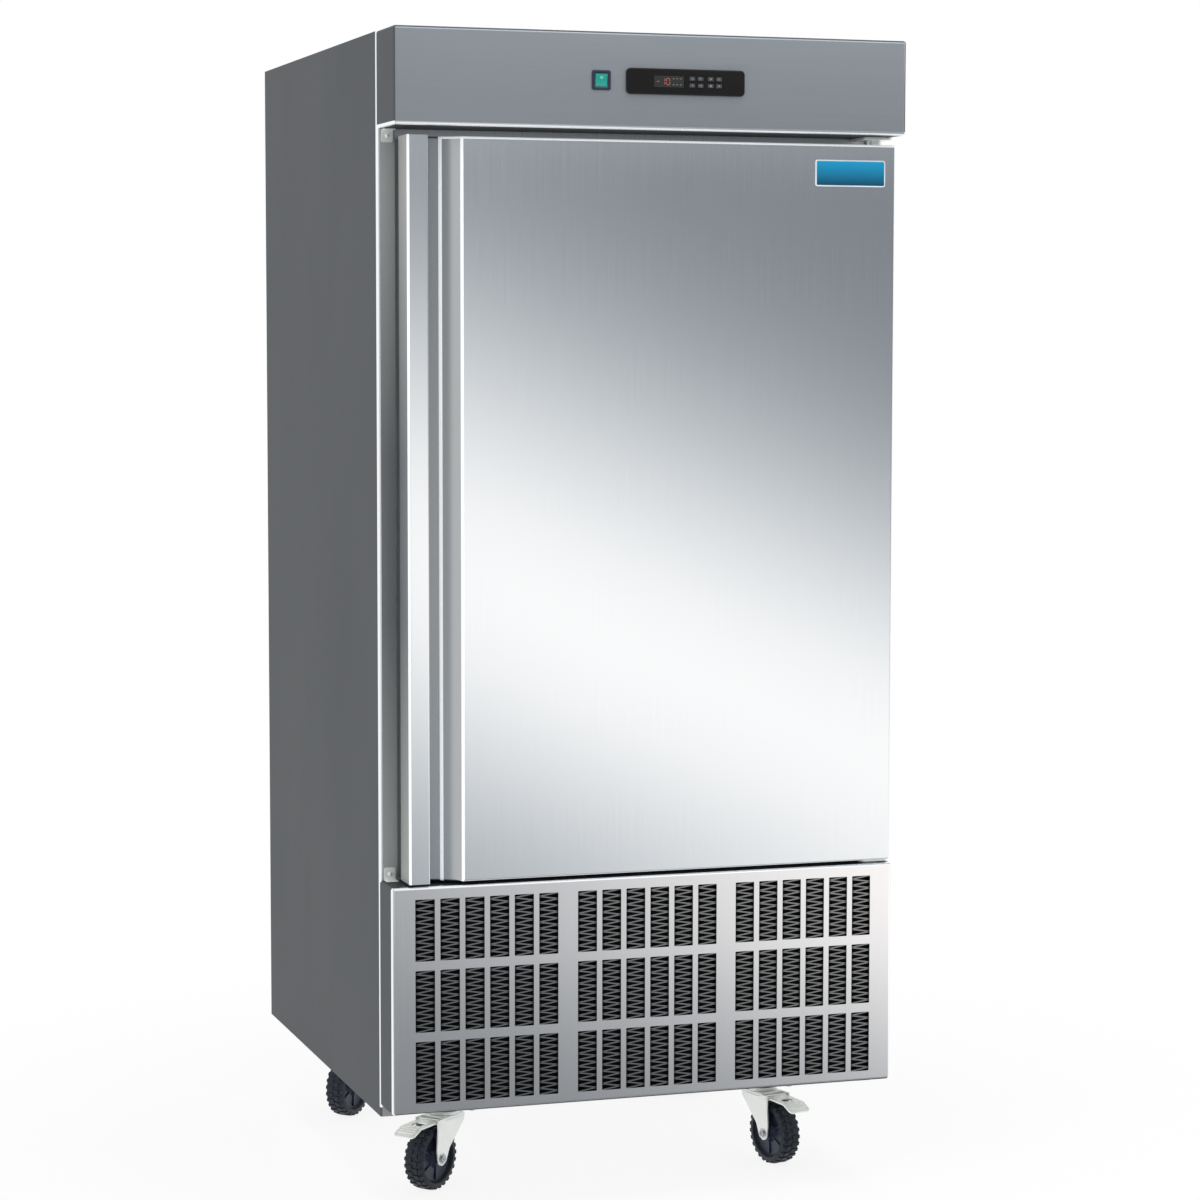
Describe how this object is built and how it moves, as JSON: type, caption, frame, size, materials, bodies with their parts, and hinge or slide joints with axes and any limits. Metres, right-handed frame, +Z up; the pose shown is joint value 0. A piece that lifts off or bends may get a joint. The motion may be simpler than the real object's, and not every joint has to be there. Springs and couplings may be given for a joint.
{
  "type": "blast chiller",
  "caption": "Upright stainless blast chiller on castors with a side-hinged insulated door, a control fascia above it and a louvred machine bay below.",
  "frame": {"origin": "on the floor under the centre of the overall box", "axes": "+Z up, -Y the way the door faces, +X to the right for someone facing the door"},
  "size_m": [0.8, 0.8864, 1.765],
  "materials": {
    "side_steel": "dull satin stainless sheet",
    "door_steel": "fine brushed stainless sheet",
    "inner_steel": "satin stainless liner",
    "zinc": "bright zinc plate",
    "black_paint": "black paint",
    "aluminium": "mill aluminium",
    "copper": "copper tube",
    "black_plastic": "black moulded plastic",
    "key_plastic": "dark soft-touch keys",
    "green_lens": "lit green lens",
    "gasket": "dark grey magnetic gasket",
    "wheel_rubber": "dark rubber tread",
    "foam": "polyurethane foam"
  },
  "bodies": {
    "cabinet": {"side_panel_left": "side_steel", "side_panel_right": "side_steel", "back_panel": "side_steel", "top_panel": "side_steel", "cabinet_foam": "foam", "inner_liner": "inner_steel", "front_frame": "door_steel", "base_frame": "zinc", "control_fascia": "side_steel", "switch_bezel": "black_plastic", "controller_body": "black_plastic", "electrical_box": "zinc", "grille_panel": "door_steel", "rear_grille": "side_steel", "hinge_bracket_top": "zinc", "hinge_bracket_bottom": "zinc", "tray_rack_left": "inner_steel", "tray_rack_right": "inner_steel", "fan_panel": "inner_steel", "evaporator_fan_motor_upper": "black_paint", "evaporator_fan_motor_lower": "black_paint", "evaporator_coil": "aluminium", "condenser_coil": "aluminium", "condenser_shroud": "zinc", "condenser_fan_motor": "black_paint", "compressor": "black_paint", "suction_pipe": "copper", "discharge_pipe": "copper", "liquid_line": "copper", "castor_plate_fl": "zinc", "castor_plate_fr": "zinc", "castor_plate_rl": "zinc", "castor_plate_rr": "zinc"},
    "door": {"door_skin": "door_steel", "door_foam": "foam", "door_liner": "inner_steel", "door_gasket": "gasket", "handle_rail": "door_steel"},
    "rocker": {"switch_rocker": "green_lens"},
    "evaporator_fan_upper": {"evaporator_fan_blade_upper": "aluminium"},
    "evaporator_fan_lower": {"evaporator_fan_blade_lower": "aluminium"},
    "condenser_fan": {"condenser_fan_blade": "aluminium"},
    "key_1": {"controller_key_1": "key_plastic"},
    "key_2": {"controller_key_2": "key_plastic"},
    "key_3": {"controller_key_3": "key_plastic"},
    "key_4": {"controller_key_4": "key_plastic"},
    "key_5": {"controller_key_5": "key_plastic"},
    "key_6": {"controller_key_6": "key_plastic"},
    "key_7": {"controller_key_7": "key_plastic"},
    "key_8": {"controller_key_8": "key_plastic"},
    "swivel_fl": {"castor_fork_fl": "zinc"},
    "wheel_fl": {"castor_wheel_fl": "wheel_rubber"},
    "brake_fl": {"brake_pedal_fl": "zinc"},
    "swivel_fr": {"castor_fork_fr": "zinc"},
    "wheel_fr": {"castor_wheel_fr": "wheel_rubber"},
    "brake_fr": {"brake_pedal_fr": "zinc"},
    "swivel_rl": {"castor_fork_rl": "zinc"},
    "wheel_rl": {"castor_wheel_rl": "wheel_rubber"},
    "swivel_rr": {"castor_fork_rr": "zinc"},
    "wheel_rr": {"castor_wheel_rr": "wheel_rubber"}
  },
  "joints": [
    {"name": "door_swing", "type": "hinge", "parent": "cabinet", "child": "door", "pos_m": [0.372, -0.38485, 1.0605], "axis": [0, 0, 1], "range_deg": [0, 110]},
    {"name": "switch_rock", "type": "hinge", "parent": "cabinet", "child": "rocker", "pos_m": [-0.086, -0.43915, 1.694], "axis": [1, 0, 0], "range_deg": [-16, 0]},
    {"name": "key_1_press", "type": "slide", "parent": "cabinet", "child": "key_1", "axis": [0, 1, 0], "range_m": [0, 0.0005], "stiffness_N_per_m": 400},
    {"name": "key_2_press", "type": "slide", "parent": "cabinet", "child": "key_2", "axis": [0, 1, 0], "range_m": [0, 0.0005], "stiffness_N_per_m": 400},
    {"name": "key_3_press", "type": "slide", "parent": "cabinet", "child": "key_3", "axis": [0, 1, 0], "range_m": [0, 0.0005], "stiffness_N_per_m": 400},
    {"name": "key_4_press", "type": "slide", "parent": "cabinet", "child": "key_4", "axis": [0, 1, 0], "range_m": [0, 0.0005], "stiffness_N_per_m": 400},
    {"name": "key_5_press", "type": "slide", "parent": "cabinet", "child": "key_5", "axis": [0, 1, 0], "range_m": [0, 0.0005], "stiffness_N_per_m": 400},
    {"name": "key_6_press", "type": "slide", "parent": "cabinet", "child": "key_6", "axis": [0, 1, 0], "range_m": [0, 0.0005], "stiffness_N_per_m": 400},
    {"name": "key_7_press", "type": "slide", "parent": "cabinet", "child": "key_7", "axis": [0, 1, 0], "range_m": [0, 0.0005], "stiffness_N_per_m": 400},
    {"name": "key_8_press", "type": "slide", "parent": "cabinet", "child": "key_8", "axis": [0, 1, 0], "range_m": [0, 0.0005], "stiffness_N_per_m": 400},
    {"name": "evaporator_fan_upper_spin", "type": "hinge", "parent": "cabinet", "child": "evaporator_fan_upper", "pos_m": [0, 0.18435, 1.2925], "axis": [0, 1, 0], "continuous": true},
    {"name": "evaporator_fan_lower_spin", "type": "hinge", "parent": "cabinet", "child": "evaporator_fan_lower", "pos_m": [0, 0.18435, 0.8325], "axis": [0, 1, 0], "continuous": true},
    {"name": "condenser_fan_spin", "type": "hinge", "parent": "cabinet", "child": "condenser_fan", "pos_m": [-0.14, -0.19675, 0.3093], "axis": [0, 1, 0], "continuous": true},
    {"name": "castor_fl_swivel", "type": "hinge", "parent": "cabinet", "child": "swivel_fl", "pos_m": [-0.264, -0.20185, 0.115], "axis": [0, 0, 1], "continuous": true},
    {"name": "castor_fl_roll", "type": "hinge", "parent": "swivel_fl", "child": "wheel_fl", "pos_m": [-0.29353, -0.22576, 0.05], "axis": [0.6293, -0.7771, 0], "continuous": true},
    {"name": "brake_fl_press", "type": "hinge", "parent": "swivel_fl", "child": "brake_fl", "pos_m": [-0.29586, -0.22765, 0.106], "axis": [0.6293, -0.7771, 0], "range_deg": [0, 12]},
    {"name": "castor_fr_swivel", "type": "hinge", "parent": "cabinet", "child": "swivel_fr", "pos_m": [0.264, -0.20185, 0.115], "axis": [0, 0, 1], "continuous": true},
    {"name": "castor_fr_roll", "type": "hinge", "parent": "swivel_fr", "child": "wheel_fr", "pos_m": [0.27319, -0.23872, 0.05], "axis": [0.9703, 0.2419, 0], "continuous": true},
    {"name": "brake_fr_press", "type": "hinge", "parent": "swivel_fr", "child": "brake_fr", "pos_m": [0.27392, -0.24163, 0.106], "axis": [0.9703, 0.2419, 0], "range_deg": [0, 12]},
    {"name": "castor_rl_swivel", "type": "hinge", "parent": "cabinet", "child": "swivel_rl", "pos_m": [-0.276, 0.30315, 0.115], "axis": [0, 0, 1], "continuous": true},
    {"name": "castor_rl_roll", "type": "hinge", "parent": "swivel_rl", "child": "wheel_rl", "pos_m": [-0.30287, 0.27628, 0.05], "axis": [0.7071, -0.7071, 0], "continuous": true},
    {"name": "castor_rr_swivel", "type": "hinge", "parent": "cabinet", "child": "swivel_rr", "pos_m": [0.276, 0.30315, 0.115], "axis": [0, 0, 1], "continuous": true},
    {"name": "castor_rr_roll", "type": "hinge", "parent": "swivel_rr", "child": "wheel_rr", "pos_m": [0.289, 0.26744, 0.05], "axis": [0.9397, 0.342, 0], "continuous": true}
  ]
}
